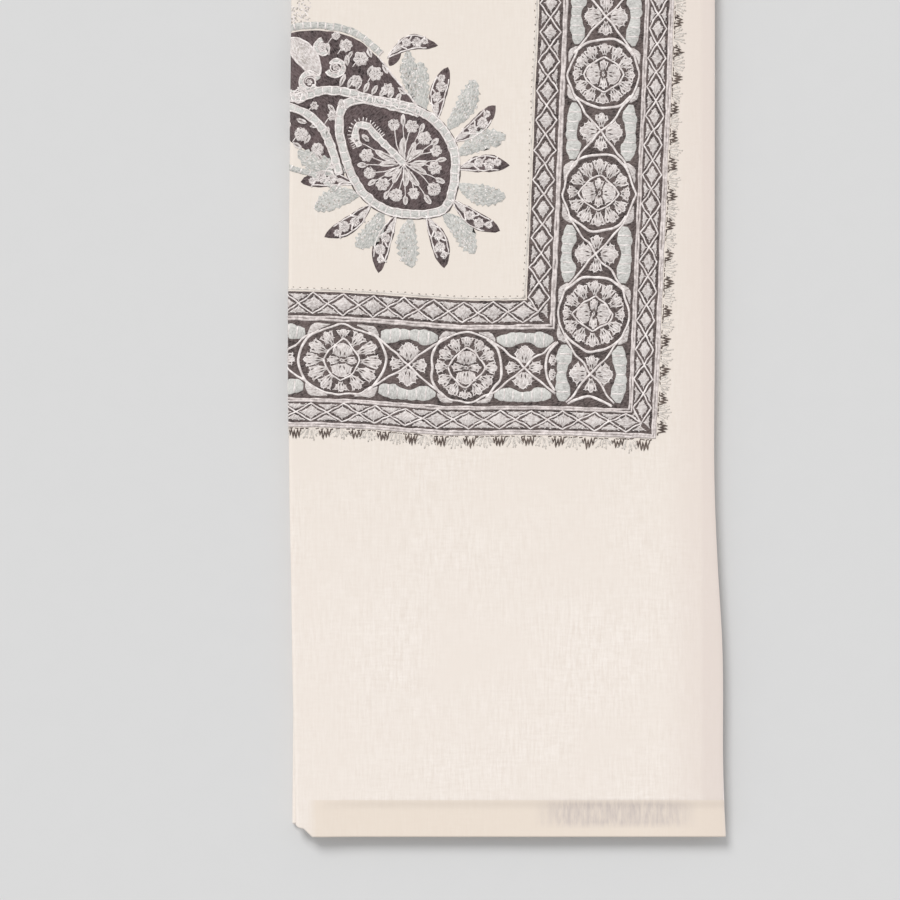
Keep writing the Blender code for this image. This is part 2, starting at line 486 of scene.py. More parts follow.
class Stitching:
    """Shapes worked in one kind of thread. A point is (x, y, lift) over the flat top of the stack."""

    def __init__(self):
        self.points = []
        self.faces = []
        self.places = []  # where each face corner is across and along the stitches

    def add(self, face, places):
        self.faces.append(face)
        self.places.append(places)

    def patch(self, outline, lift, grain=0.0, edge=0.00025):
        """A flat filling with a soft edge, its stitches lying at the angle grain."""
        area = sum(a.x * b.y - b.x * a.y for a, b in zip(outline, [*outline[1:], outline[0]]))
        if area < 0:
            outline = outline[::-1]
        n, base = len(outline), len(self.points)
        inner = []
        for i, point in enumerate(outline):
            way = (outline[(i + 1) % n] - outline[i - 1]).normalized()
            inner.append(point + edge * way.orthogonal())
        rings = ((outline, SUNK), (outline, 0.5 * lift), (inner, lift))
        self.points += [(p.x, p.y, height) for ring, height in rings for p in ring]
        c, s = math.cos(grain), math.sin(grain)
        flat = [(p.y * c - p.x * s, p.x * c + p.y * s) for ring, _ in rings for p in ring]
        for ring in (0, n):
            for i in range(n):
                j = (i + 1) % n
                face = (ring + i, ring + j, ring + n + j, ring + n + i)
                self.add([base + k for k in face], [flat[k] for k in face])
        self.add([base + 2 * n + i for i in range(n)], [flat[2 * n + i] for i in range(n)])

    def thread(self, path, width, height, lift=0.0):
        """A thread laid along the path, rounded on top."""
        shoulder = lift + 0.6 * height
        profile = ((0.5, lift), (0.42, shoulder), (0, lift + height), (-0.42, shoulder), (-0.5, lift))
        base, run, n = len(self.points), 0.0, len(profile)
        runs = []
        for i, point in enumerate(path):
            way = way_at(path, i)
            uneven = 1 + 0.3 * noise.noise(Vector((point.x, point.y, base * 0.01)) * 260)
            left = width * uneven * way.orthogonal()
            self.points += [(point.x + left.x * side, point.y + left.y * side, up) for side, up in profile]
            run += (point - path[max(i - 1, 0)]).length
            runs.append(run)
        for i in range(len(path) - 1):
            for k in range(n):
                m = (k + 1) % n
                corners = ((i, k), (i, m), (i + 1, m), (i + 1, k))
                around = [(((c or n) if m == 0 else c) / n, runs[r]) for r, c in corners]
                self.add([base + r * n + c for r, c in corners], around)
        self.add([base + k for k in reversed(range(n))], [(0, 0)] * n)
        last = base + (len(path) - 1) * n
        self.add([last + k for k in range(n)], [(0, run)] * n)

    def fleck(self, start, end, width, lift, base_lift=0.0):
        """One short stitch, thickest in its middle."""
        way = end - start
        side = way.orthogonal().normalized() * width / 2
        middle = start.lerp(end, 0.5)
        base = len(self.points)
        for point, height in ((start, 0), (middle - side, 0), (end, 0), (middle + side, 0), (middle, lift)):
            self.points.append((point.x, point.y, base_lift + height))
        for i in range(4):
            places = [(0, 0), (0, way.length), (0.5, way.length / 2)]
            self.add([base + i, base + (i + 1) % 4, base + 4], places)

    def lay(self, name, material, slot, cell=None):
        """Makes the mesh, cuts it where the cloth bends, and lays it on the cloth."""
        bm = bmesh.new()
        uv = bm.loops.layers.uv.new("Thread")
        verts = [bm.verts.new((x - fold_edge(y - FOOT), y, lift)) for x, y, lift in self.points]
        for face, places in zip(self.faces, self.places):
            for loop, place in zip(bm.faces.new([verts[i] for i in face]).loops, places):
                loop[uv].uv = place
        bmesh.ops.triangulate(bm, faces=[f for f in bm.faces if len(f.verts) > 4])
        around = TURN + FACE
        for k in range(FOLD_STEPS + 1):
            cut(bm, -k * math.pi * around / FOLD_STEPS, (1, 0, 0), clear=k == FOLD_STEPS)
        if cell:
            us, ys = [v.co.x for v in bm.verts], [v.co.y for v in bm.verts]
            for k in range(1, int(max(us) / cell) + 1):
                cut(bm, k * cell, (1, 0, 0))
            for k in range(int(min(ys) // cell) + 1, int(max(ys) // cell) + 1):
                cut(bm, k * cell, (0, 1, 0))
        for vert in bm.verts:
            vert.co = on_cloth(*vert.co)
        mesh = bpy.data.meshes.new(name)
        bm.to_mesh(mesh)
        bm.free()
        mesh.shade_smooth()
        mesh.materials.append(material)
        piece = added(name, mesh)
        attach(piece, "root")


def cut(bm, at, way, clear=False):
    """Cuts the faces that cross a line, and with clear drops what is beyond it."""
    axis = 0 if way[0] else 1
    faces = [f for f in bm.faces if min(v.co[axis] for v in f.verts) < at]
    if not clear:
        faces = [f for f in faces if max(v.co[axis] for v in f.verts) > at]
    parts = dict.fromkeys([*faces, *(e for f in faces for e in f.edges), *(v for f in faces for v in f.verts)])
    place = Vector(way) * at
    bmesh.ops.bisect_plane(bm, geom=list(parts), dist=1e-7, plane_co=place, plane_no=way, clear_inner=clear)


def on_cloth(u, y, lift):
    """Where a point lies, u being how far it is from the line where the side fold begins."""
    up = y - FOOT
    edge = fold_edge(up)
    turned = max(-u, 0) / (TURN + FACE)
    face = FACE + lift + relief(HALF_WIDTH - edge - u, up)
    if not turned:
        return Vector((edge + u, y, TOP_MIDDLE + face - dip(edge + u, up)))
    x = edge - (TURN + face) * math.sin(turned)
    return Vector((x, y, TOP_MIDDLE - TURN + (TURN + face) * math.cos(turned)))


def filling_stitches():
    """Threads laid side by side, not quite evenly, and the clouds where one length of dyed thread ends."""
    tree, given, result = effect(
        "Filling stitches",
        [("Place", "Vector", None), ("Cloth", "Vector", None), ("Threads per metre", "Float", 1600.0)],
        [("Height", "Float"), ("Streak", "Float"), ("Cloud", "Float")],
    )
    place, cloth, threads = given.outputs[:3]
    x, y, _ = node(tree, "SeparateXYZ", place).node.outputs
    uneven = node(tree, "TexNoise", cloth, None, 420.0, 2.0, 0.5)
    count = maths(tree, "MULTIPLY", x, threads)
    count = maths(tree, "ADD", count, maths(tree, "MULTIPLY", uneven, 2.0))
    ridge = maths(tree, "SINE", maths(tree, "MULTIPLY", count, math.pi))
    ridge = maths(tree, "ABSOLUTE", ridge)
    stretched = node(tree, "VectorMath", place, (1300, 480, 1), operation="MULTIPLY")
    streak = spread(tree, node(tree, "TexNoise", stretched, None, 1.0, 2.0, 0.6))
    cloud = spread(tree, node(tree, "TexNoise", cloth, None, 130.0, 4.0, 0.75))
    tree.links.new(node(tree, "Mix", 0.4, None, ridge, streak), result.inputs["Height"])
    tree.links.new(streak, result.inputs["Streak"])
    tree.links.new(cloud, result.inputs["Cloud"])
    return tree


filling_group = filling_stitches()


def filled(name, deep, shade, light, streaks=0.7):
    """A material of filling stitches, from three tones of one dyed thread."""
    material, tree, shader = new_material(name, 0.7, 0.05)
    place = node(tree, "UVMap", uv_map="Thread")
    cloth = node(tree, "TexCoord", out=3)
    stitches = placed(tree, filling_group, Place=place, Cloth=cloth)
    colour = blend(tree, stitches["Cloud"], deep, shade)
    strength = maths(tree, "MULTIPLY", stitches["Streak"], streaks)
    colour = blend(tree, strength, colour, light)
    tree.links.new(colour, shader.inputs["Base Color"])
    tree.links.new(node(tree, "Bump", 0.6, 0.00025, None, stitches["Height"]), shader.inputs["Normal"])
    return material


dark_tones = tint(22, 14, 13), tint(94, 81, 78), tint(150, 136, 133)
dark_filling = filled("dark brown filling", *dark_tones, streaks=0.5)

ground = Stitching()
GROUND = (0.0014, 0.0811)
MITRE_OVERLAP = 0.0008  # the arms' ground meets along a slanting line at the corner
for arm, end, over in ((upright, UPRIGHT_END, 0.0), (level, LEVEL_END, MITRE_OVERLAP)):
    outer, inner = GROUND
    outline = [(end, outer), (outer - over, outer), (inner - over, inner), (end, inner)]
    outline = straight([Vector(p) for p in (*outline, outline[0])], 0.003)[:-1]
    ground.patch(by_hand(on(arm, outline)), GROUND_LIFT + 0.03 * over, grain=0.3)
ground.lay("border_ground", dark_filling, "dark_brown_thread", cell=CELL)


# ---------------------------------------------------------------------------
# The border's cords. Three pale lines frame the strips and the medallion band: each is several strands of
# grey-pink wool, laid side by side and sewn down, so a fine seam runs down its middle.
CORD_LIFT = 0.00055
STRAND_SHARE = 1.08  # of half a cord, so that the two strands press together
CLOSING_WIDE = 0.0022  # the single cord that closes the border at its far end


def twisted_thread():
    """The slanting plies of a twisted thread, and its lighter and darker lengths."""
    tree, given, result = effect(
        "Twisted thread",
        [("Place", "Vector", None), ("Cloth", "Vector", None), ("Turns per metre", "Float", 900.0)],
        [("Height", "Float"), ("Length tone", "Float")],
    )
    place, cloth, turns = given.outputs[:3]
    around, along, _ = node(tree, "SeparateXYZ", place).node.outputs
    count = maths(tree, "MULTIPLY", along, turns)
    count = maths(tree, "ADD", count, maths(tree, "MULTIPLY", around, 2.0))
    ply = maths(tree, "SINE", maths(tree, "MULTIPLY", count, math.pi))
    tree.links.new(maths(tree, "ABSOLUTE", ply), result.inputs["Height"])
    tone = spread(tree, node(tree, "TexNoise", cloth, None, 420.0, 2.0, 0.6))
    tree.links.new(tone, result.inputs["Length tone"])
    return tree


twist_group = twisted_thread()


def twisted(name, shade, light, turns=900.0):
    """A material of twisted thread between two tones."""
    material, tree, shader = new_material(name, 0.6, 0.08)
    place = node(tree, "UVMap", uv_map="Thread")
    cloth = node(tree, "TexCoord", out=3)
    thread = placed(tree, twist_group, Place=place, Cloth=cloth, Turns_per_metre=turns)
    tree.links.new(blend(tree, thread["Length tone"], shade, light), shader.inputs["Base Color"])
    tree.links.new(node(tree, "Bump", 0.5, 0.0001, None, thread["Height"]), shader.inputs["Normal"])
    return material


def turned_corner(at):
    """A line that runs down the upright arm, round the corner and along the level one."""
    points = [Vector((-at, UPRIGHT_END)), Vector((-at, at)), Vector((-LEVEL_END, at))]
    return [drawn(*p) for p in straight(points, 0.0025)]


cords = Stitching()
for near, far in (OUTER_CORD, MIDDLE_CORD, INNER_CORD):
    strand = (far - near) / 2
    for at in (near + strand / 2, far - strand / 2):
        cords.thread(by_hand(turned_corner(at), 0.0005, 0.006), strand * STRAND_SHARE, CORD_LIFT)
closing = [upright(UPRIGHT_END - 0.0008, across) for across in np.linspace(0.0, INNER_STRIP[1], 40)]
cords.thread(by_hand(closing), CLOSING_WIDE, CORD_LIFT)
cord_thread = twisted("grey-pink cord", tint(192, 182, 179), tint(240, 230, 227), 700.0)
cords.lay("border_cords", cord_thread, "pink_grey_thread")


# ---------------------------------------------------------------------------
# The two narrow strips. Off-white threads run down each strip in two zigzags that cross in its middle.
# Inside each diamond, and in the half diamonds along the sides, pale stitches leave a dark line all round.
PALE_LIFT = 0.00034
OUTLINE_THREAD = (0.0010, 0.0005)  # width and height
STRAY_STITCH = (0.0006, 0.00012, 0.00024)  # width, height and where it starts
CORNER_FILL = 0.55  # the share of the strip's corner that its stitches cover

# fill is the share of a diamond that its stitches cover, and half_fill of a half diamond
Run = namedtuple("Run", "arm lane end pitch fill half_fill")
STRIPS = (
    Run(upright, OUTER_STRIP, UPRIGHT_END, 0.0176, 0.60, 0.52),
    Run(level, OUTER_STRIP, LEVEL_END, 0.0190, 0.69, 0.62),
    Run(upright, INNER_STRIP, UPRIGHT_END, 0.0176, 0.60, 0.52),
    Run(level, INNER_STRIP, LEVEL_END, 0.0190, 0.69, 0.62),
)


def shrunk(corners, share):
    """The corners drawn in towards their middle."""
    middle = sum(corners, Vector((0, 0))) / len(corners)
    return [middle.lerp(corner, share) for corner in corners]


pale_filling = filled("pale pink-grey filling", tint(160, 149, 146), tint(214, 204, 200), tint(255, 250, 247))
white_thread = twisted("off-white thread", tint(216, 206, 203), tint(255, 248, 245))


def ragged(outline, step=2, out=0.0007):
    """Single stitches that stray over the edge of a filling, square to it."""
    middle = sum(outline, Vector((0, 0))) / len(outline)
    for point in outline[::step]:
        way = (point - middle).normalized() * out
        threads.fleck(*by_hand([point - 1.3 * way, point + way], 0.0005, 0.002), *STRAY_STITCH)


fillings, threads = Stitching(), Stitching()
for arm, (near, far), end, pitch, fill, half_fill in STRIPS:
    middle = (near + far) / 2
    start = middle  # the middle of the corner, where the arms' zigzags meet
    cells = round((end - start) / pitch)
    pitch = (end - start) / cells
    for i in range(cells):
        a, b, c = start + i * pitch, start + (i + 0.5) * pitch, start + (i + 1) * pitch
        diamond = [Vector(p) for p in ((a, middle), (b, near), (c, middle), (b, far))]
        shapes = [shrunk(diamond, fill)]
        for side in (near, far) if i < cells - 1 else ():
            half = [Vector(p) for p in ((b, side), (c + pitch / 2, side), (c, middle))]
            shapes.append(shrunk(half, half_fill))
        for side in (near, far) if i == 0 else ():
            corner = [Vector(p) for p in ((side, side), (b, side), (a, middle))]
            shapes.append(shrunk(corner, CORNER_FILL))
        for shape in shapes:
            path = straight([*shape, shape[0]], 0.0012)[:-1]
            path = by_hand(on(arm, path), 0.0005, 0.003)
            fillings.patch(path, PALE_LIFT, grain=0.7 * (i % 3))
            ragged(path, 3)
    for first in (0, 1):
        corners = [Vector((start, middle))]
        corners += [Vector((start + (i + 0.5) * pitch, (near, far)[(i + first) % 2])) for i in range(cells)]
        corners.append(Vector((end, middle)))
        threads.thread(by_hand(on(arm, straight(corners, 0.0018)), 0.0008, 0.005), *OUTLINE_THREAD)
fillings.lay("strip_fillings", pale_filling, "pink_grey_thread")
threads.lay("strip_threads", white_thread, "off_white_thread")


# ---------------------------------------------------------------------------
# The medallions of the wide band. Two off-white threads weave down the band and cross between medallions,
# and an arc closes each medallion at both ends. Twelve toothed petals stand round a smaller ring, four
# petals lie inside the ring, and four buds stand round each crossing, all in pale stitches on the dark.
BAND_MIDDLE = sum(BAND) / 2
BAND_HALF = (BAND[1] - BAND[0]) / 2
SWING = 0.0214  # how far the weaving threads swing from the middle of the band
ARC_FROM_CROSSING = 0.0134
ARC_TURN = math.radians(56)
RING = (0.0107, 0.0122)  # half length and half width
RING_SHAPE = 1.3  # 2 is an ellipse and 1 a diamond
PETALS = 12
WEAVING_THREAD = (0.0013, 0.00055)
ARC_THREAD = (0.0016, 0.0006)
RING_THREAD = (0.0011, 0.0005)
PALE_EDGE = (0.00065, 0.00018, PALE_LIFT - 0.00005)  # the fine stitches on a petal: width, height and lift
PALE_VEIN = (0.00055, 0.00012, PALE_LIFT - 0.00004)
DARK_TICK = (0.0011, 0.0001, PALE_LIFT - 0.00002)
PETAL_GAPS = (0.0009, 0.0027)  # from the ring to a petal's foot, and from its tip to the rim
PETAL_WIDE = 0.0077

# The other petals: how far from the middle they start and end, and how wide they are
LENS = (0.0022, 0.0104, 0.0124)  # the two large ones in the ring
STALK = (0.0003, 0.0089, 0.0042)  # the two narrow ones between them
BUD = (0.0028, 0.0112, 0.0070)  # the two buds along the band at a crossing
SHELL_BUD = (0.0028, 0.0130, 0.0130)  # the two across it

# Where the threads cross along each arm. The medallions were drawn by eye, so they are not all one length.
Band = namedtuple("Band", "arm start end crossings")
UP_CROSSINGS = [-0.034, 0.0375, 0.1096, 0.1828, *(0.2519 + 0.0715 * k for k in range(8))]
BANDS = (
    Band(upright, BAND[0], UPRIGHT_END, UP_CROSSINGS),
    Band(level, BAND[1] - 0.0014, LEVEL_END, [0.0111, 0.0811, 0.1507, 0.2300, 0.3020]),
)


def leaf(start, end, width, swell=(0.7, 0.5), bend=0.0, teeth=0.0, steps=8):
    """The outline of a leaf or a petal, from its stalk to its tip. swell says how slowly it widens from each
    end, bend how far its middle is pushed to the left, and teeth how deep its edge is toothed."""
    way = end - start
    side = way.orthogonal().normalized()
    widest = swell[0] / (swell[0] + swell[1])
    most = widest ** swell[0] * (1 - widest) ** swell[1]
    left, right = [], []
    for i in range(1, steps):
        t = i / steps
        half = width / 2 * t ** swell[0] * (1 - t) ** swell[1] / most
        tooth = 1 + teeth * 2 * t * (1 if i % 2 else -1)
        spine = start + way * t + side * bend * math.sin(math.pi * t)
        left.append(spine + side * half * tooth)
        right.append(spine - side * half * tooth)
    return [start, *left, end, *reversed(right)]


def inside(run, p):
    """Whether a place is on the band, clear of the cords at its ends."""
    return run.start + 0.0005 <= p[0] <= run.end - 0.0016


def swing(run, along):
    """How far a weaving thread is from the middle of the band, whichever side it is on."""
    i = next(k for k in range(len(run.crossings) - 1) if along <= run.crossings[k + 1])
    a, b = run.crossings[i : i + 2]
    return SWING * (1 - abs(2 * (along - a) / (b - a) - 1) ** 1.6)


def on_ring(length, width, turn, shape=2.0):
    """A place on an oval about the origin."""
    c, s = math.cos(turn), math.sin(turn)
    reach = (abs(c) ** shape + abs(s) ** shape) ** (-1 / shape)
    return Vector((length * c, width * s)) * reach


# Half of a petal's outline from its foot to its tip: how far along it, and how far out, in petal widths
Edge = namedtuple("Edge", "along out")
TULIP = (Edge(0.00, 0.13), Edge(0.16, 0.22), Edge(0.34, 0.37), Edge(0.55, 0.49), Edge(0.78, 0.54),
         Edge(0.87, 0.44), Edge(0.78, 0.30), Edge(0.86, 0.25), Edge(0.95, 0.12), Edge(1.02, 0.0))
SHELL = (Edge(0.00, 0.10), Edge(0.10, 0.27), Edge(0.26, 0.42), Edge(0.36, 0.36), Edge(0.52, 0.50),
         Edge(0.64, 0.40), Edge(0.78, 0.36), Edge(0.82, 0.21), Edge(0.94, 0.14), Edge(1.02, 0.0))
LENS_PETAL = (Edge(0.00, 0.14), Edge(0.06, 0.34), Edge(0.22, 0.47), Edge(0.48, 0.50), Edge(0.66, 0.44),
              Edge(0.80, 0.32), Edge(0.92, 0.16), Edge(1.00, 0.0))


# Where each dark tick on a petal starts and ends: how far along it, and how far out
Tick = namedtuple("Tick", "start start_out end end_out")
TICKS = (Tick(0.02, -0.06, 0.50, -0.12), Tick(0.02, 0.06, 0.42, 0.12),
         Tick(0.86, -0.32, 0.52, -0.32), Tick(0.86, 0.32, 0.56, 0.32))


def petal(arm, start, end, width, edges):
    """A toothed petal with a light edge, light stitches down it and dark ones at its foot and its notches."""
    start, end = Vector(start), Vector(end)
    spine = end - start
    side = spine.orthogonal().normalized() * width
    seed = next(stroke_number)
    half = [(e.along, e.out * (1 + 0.16 * noise.noise(Vector((k, seed, 0.5))))) for k, e in enumerate(edges)]
    outline = [start + t * spine + out * side for t, out in half]
    outline += [start + t * spine - out * side for t, out in half[-2::-1]]
    outline = by_hand(on(arm, outline), 0.0007, 0.003)
    grain = arm(*end) - arm(*start)
    fillings.patch(outline, PALE_LIFT, grain=math.atan2(grain.y, grain.x))
    ragged(outline)
    threads.thread(shrunk(outline, 0.9)[2:-2], *PALE_EDGE)
    for share in (-0.2, 0.0, 0.2):
        vein = [start + 0.45 * spine + side * share * 0.8, start + 0.88 * spine + side * share]
        line = by_hand(on(arm, straight(vein, 0.0016)), 0.0006, 0.002)
        threads.thread(line, *PALE_VEIN)
    for first, out, last, end_out in TICKS:
        tick = [start + first * spine + out * side, start + last * spine + end_out * side]
        ticks.fleck(*by_hand(on(arm, tick), 0.0006, 0.002), *DARK_TICK)


fillings, threads, ticks = (Stitching() for _ in range(3))
for run in BANDS:
    arm = run.arm
    for first in (-1, 1):
        path = []
        for i, (a, b) in enumerate(zip(run.crossings, run.crossings[1:])):
            side = first * (1 if i % 2 else -1)
            path += [(along, BAND_MIDDLE + side * swing(run, along)) for along in np.linspace(a, b, 38)[:-1]]
        path = on(arm, (p for p in path if inside(run, p)))
        threads.thread(by_hand(path, 0.0017, 0.009), *WEAVING_THREAD)
    for a, b in zip(run.crossings, run.crossings[1:]):
        centre = Vector(((a + b) / 2, BAND_MIDDLE))
        long = (b - a) / 2 - ARC_FROM_CROSSING
        for way in (-1, 1):
            turns = np.linspace(-ARC_TURN, ARC_TURN, 34)
            path = [centre + Vector((way * long * math.cos(t), SWING * math.sin(t))) for t in turns]
            path = [p for p in path if inside(run, p)]
            if len(path) > 8:
                threads.thread(by_hand(on(arm, path), 0.0018, 0.010), *ARC_THREAD)
        turns = [2 * math.pi * k / 36 for k in range(37)]
        path = [centre + on_ring(*RING, t, RING_SHAPE) for t in turns]
        if all(inside(run, p) for p in path):
            threads.thread(by_hand(on(arm, path), 0.0013, 0.006), *RING_THREAD)
            for way in (-1, 1):
                foot, tip = (centre + Vector((0, way * off)) for off in LENS[:2])
                petal(arm, foot, tip, LENS[2], LENS_PETAL)
                foot, tip = (centre + Vector((way * off, 0)) for off in STALK[:2])
                petal(arm, foot, tip, STALK[2], TULIP)
        for k in range(PETALS):
            t = 2 * math.pi * k / PETALS
            rim = Vector((long * math.cos(t), SWING * math.sin(t)))
            foot = on_ring(*RING, math.atan2(rim.y, rim.x), RING_SHAPE)
            way = (rim - foot).normalized()
            foot, tip = centre + foot + PETAL_GAPS[0] * way, centre + rim - PETAL_GAPS[1] * way
            if inside(run, tip) and inside(run, foot):
                petal(arm, foot, tip, PETAL_WIDE, TULIP)
    for mark in run.crossings:
        for way in (-1, 1):
            foot, tip = (Vector((mark + way * off, BAND_MIDDLE)) for off in BUD[:2])
            if inside(run, foot) and inside(run, tip):
                petal(arm, foot, tip, BUD[2], TULIP)
            foot, tip = (Vector((mark, BAND_MIDDLE + way * off)) for off in SHELL_BUD[:2])
            if inside(run, (mark - 0.004, 0)) and inside(run, (mark + 0.004, 0)):
                petal(arm, foot, tip, SHELL_BUD[2], SHELL)
for side in (-1, 1):  # two petals of the half medallion where the level band starts
    foot, tip = (Vector((BAND[1] + along, BAND_MIDDLE + side * 0.0043)) for along in (-0.0006, 0.0036))
    petal(level, foot, tip, 0.0068, LENS_PETAL)
dark_thread = twisted("dark thread", tint(66, 54, 52), tint(104, 92, 88))
fillings.lay("medallion_fillings", pale_filling, "pink_grey_thread")
threads.lay("medallion_threads", white_thread, "off_white_thread")
ticks.lay("medallion_ticks", dark_thread, "dark_brown_thread")


# ---------------------------------------------------------------------------
# The brackets along both sides of the band. At each crossing a grey bar, waisted where the bud stands, is
# worked beside the cord and cut into short cells by single white stitches. Small pale wedges fill the
# corners between the bars and the medallions.
BRACKET_HALF = 0.0170
BRACKET_CELLS = 6
CELL_POINTS = 4  # along each side of a cell
CELL_STITCH = (0.0009, 0.00018, PALE_LIFT - 0.00005)
BEAD = 0.0006  # how far the edge of a cell swells
END_TAPER = 0.0022
ARCH = (0.0132, 0.0150)  # the dark arch over a bud: half its length along the band, and its height
BRACKET_WIDE = 0.0086  # at most
RIM = 0.0012  # the dark line between a bar and the cord
LINE = 0.0016  # from the middle of a thread to a filling beside it
WEDGE = (0.0180, 0.0335)  # where a wedge starts and ends, from the crossing

grey_filling = filled("grey filling", tint(178, 176, 172), tint(209, 208, 203), tint(240, 238, 234))
bars, wedges, threads = (Stitching() for _ in range(3))
for run in BANDS:
    arm = run.arm
    rim = BAND_HALF - RIM
    for mark in run.crossings:
        for side in (-1, 1):
            first = max(mark - BRACKET_HALF, run.start + 0.001)
            last = min(mark + BRACKET_HALF, run.end - 0.002)
            cells = round((last - first) / (2 * BRACKET_HALF) * BRACKET_CELLS)
            if cells < 3:
                continue
            inner_side, outer_side = [], []
            for k in range(cells * CELL_POINTS + 1):
                along = first + (last - first) * k / (cells * CELL_POINTS)
                off = abs(along - mark)
                arch = ARCH[1] * math.sqrt(max(1 - (off / ARCH[0]) ** 2, 0))
                near = max(swing(run, along) + LINE, arch, rim - BRACKET_WIDE - 0.09 * max(off - 0.011, 0))
                tapered = END_TAPER * ease((off - 0.6 * BRACKET_HALF) / (0.4 * BRACKET_HALF))
                beads = BEAD * abs(math.sin(math.pi * k / CELL_POINTS))
                inner_side.append((along, BAND_MIDDLE + side * (near - 0.4 * beads)))
                outer_side.append((along, BAND_MIDDLE + side * (rim - 0.0004 - tapered + beads)))
            path = by_hand(on(arm, inner_side + outer_side[::-1]), 0.0009, 0.005)
            bars.patch(path, PALE_LIFT, grain=0.0 if arm is upright else math.pi / 2)
            for a, b in list(zip(inner_side, outer_side))[CELL_POINTS:-1:CELL_POINTS]:
                a, b = Vector(a), Vector(b)
                cell_line = straight([arm(*a.lerp(b, 0.06)), arm(*a.lerp(b, 0.94))], 0.002)
                threads.thread(by_hand(cell_line, 0.0006, 0.003), *CELL_STITCH)
            for way in (-1, 1):
                near_side, far_side = [], []
                for t in np.linspace(0, 1, 9):
                    along = mark + way * (WEDGE[0] + (WEDGE[1] - WEDGE[0]) * t)
                    if not run.start + 0.001 < along < run.end - 0.002:
                        continue
                    near, far = swing(run, along) + 0.0009, BAND_HALF - 0.0006
                    if near < far - 0.0004:
                        far = near + (far - near) * min(1.0, 0.3 + 4 * t)
                        near_side.append((along, BAND_MIDDLE + side * near))
                        far_side.append((along, BAND_MIDDLE + side * far))
                if len(near_side) > 2:
                    path = on(arm, near_side + far_side[::-1])
                    wedges.patch(by_hand(path, 0.0006, 0.003), PALE_LIFT)
bars.lay("bracket_fillings", grey_filling, "grey_blue_thread")
wedges.lay("wedge_fillings", pale_filling, "pink_grey_thread")
threads.lay("bracket_threads", white_thread, "off_white_thread")


# ---------------------------------------------------------------------------
# The comb stitches. Along the border's outer line, tight dark zigzags alternate with loose fans of pale grey
# stitches, like a row of small flowers. A broken dark running stitch joins them, and a finer one follows
# the border's inner edge.
COMB_PITCH = 0.0175
SPIKES = 4
FAN_STITCHES = 7
FAN_LONG = 0.0086
FAN_THREAD = (0.0008, 0.00022)
COMB_THREAD = (0.00082, 0.0004)
RUNNING_STEP = 0.0031  # from one running stitch to the next, outside the border and inside it
INSIDE_STEP = 0.0042

brown_thread = twisted("brown thread", tint(84, 71, 66), tint(122, 108, 100))
grey_thread = twisted("pale grey thread", tint(202, 195, 188), tint(236, 228, 220))
Comb = namedtuple("Comb", "arm end step long")  # the step from one spike to the next, and how long they are
COMBS = (Comb(upright, UPRIGHT_END, 0.0017, 0.0060), Comb(level, LEVEL_END, 0.0018, 0.0070))
combs, fans, stitches = (Stitching() for _ in range(3))
for arm, end, step, spike in COMBS:
    for i in range(int((end - 0.004) / COMB_PITCH)):
        uneven = wander(i * 1.7, end, 2.0)
        start = 0.0035 + (i + 0.12 * uneven.x) * COMB_PITCH
        zigzag = [Vector((start - 0.0022, -0.0008)), Vector((start - 0.0008, -0.0010))]
        for k in range(SPIKES):
            long = spike * (0.55 + 0.45 * math.sin(math.pi * (k + 0.8) / SPIKES)) * (1 + 0.35 * uneven[k % 3])
            zigzag.append(Vector((start + (k + 0.1) * step, -long)))
            zigzag.append(Vector((start + (k + 0.6) * step, -0.0009 - 0.0010 * (k % 2))))
        combs.thread(by_hand(on(arm, straight(zigzag, 0.0016)), 0.0006, 0.003), *COMB_THREAD)
        middle = start + 0.66 * COMB_PITCH
        for k in range(FAN_STITCHES):
            lean = k / (FAN_STITCHES - 1) - 0.5
            foot = arm(middle + lean * 0.0050, -0.0010)
            long = FAN_LONG * (0.66 + 0.34 * math.cos(3 * lean)) * (0.86 + 0.3 * uneven[k % 3])
            tip = arm(middle + lean * 0.0125, -long)
            path = curve(by_hand([foot, foot.lerp(tip, 0.5), tip], 0.0012, 0.002), 0.0016)
            fans.thread(path, *FAN_THREAD)
            knot = foot.lerp(tip, 0.55 + 0.12 * (k % 3))
            across = (tip - foot).orthogonal().normalized() * (0.0013 if k % 2 else -0.0013)
            fans.thread([knot - 0.3 * across, knot + across], *FAN_THREAD)
    for start in np.arange(0.004, end - 0.004, RUNNING_STEP):
        if noise.noise(Vector((start * 260, end, 1.0))) > -0.22:
            line = straight([arm(start, -0.0009), arm(start + 0.0022, -0.0009)])
            stitches.thread(by_hand(line, 0.0007, 0.003), 0.0006, 0.00022)
for arm, end, *_ in COMBS:
    rim = [arm(along, EDGE_LINE) for along in np.arange(EDGE_LINE, end - 0.001, 0.003)]
    fans.thread(by_hand(rim, 0.0004, 0.006), 0.0010, 0.00018)
    for start in np.arange(EDGE_LINE, end - 0.002, INSIDE_STEP):
        line = [arm(start, EDGE_LINE + 0.0011), arm(start + 0.0008, EDGE_LINE + 0.0011)]
        stitches.thread(by_hand(line, 0.0006, 0.002), 0.0004, 0.0002)
combs.lay("comb_spikes", brown_thread, "dark_brown_thread")
fans.lay("comb_fans", grey_thread, "pink_grey_thread")
stitches.lay("running_stitches", brown_thread, "dark_brown_thread")


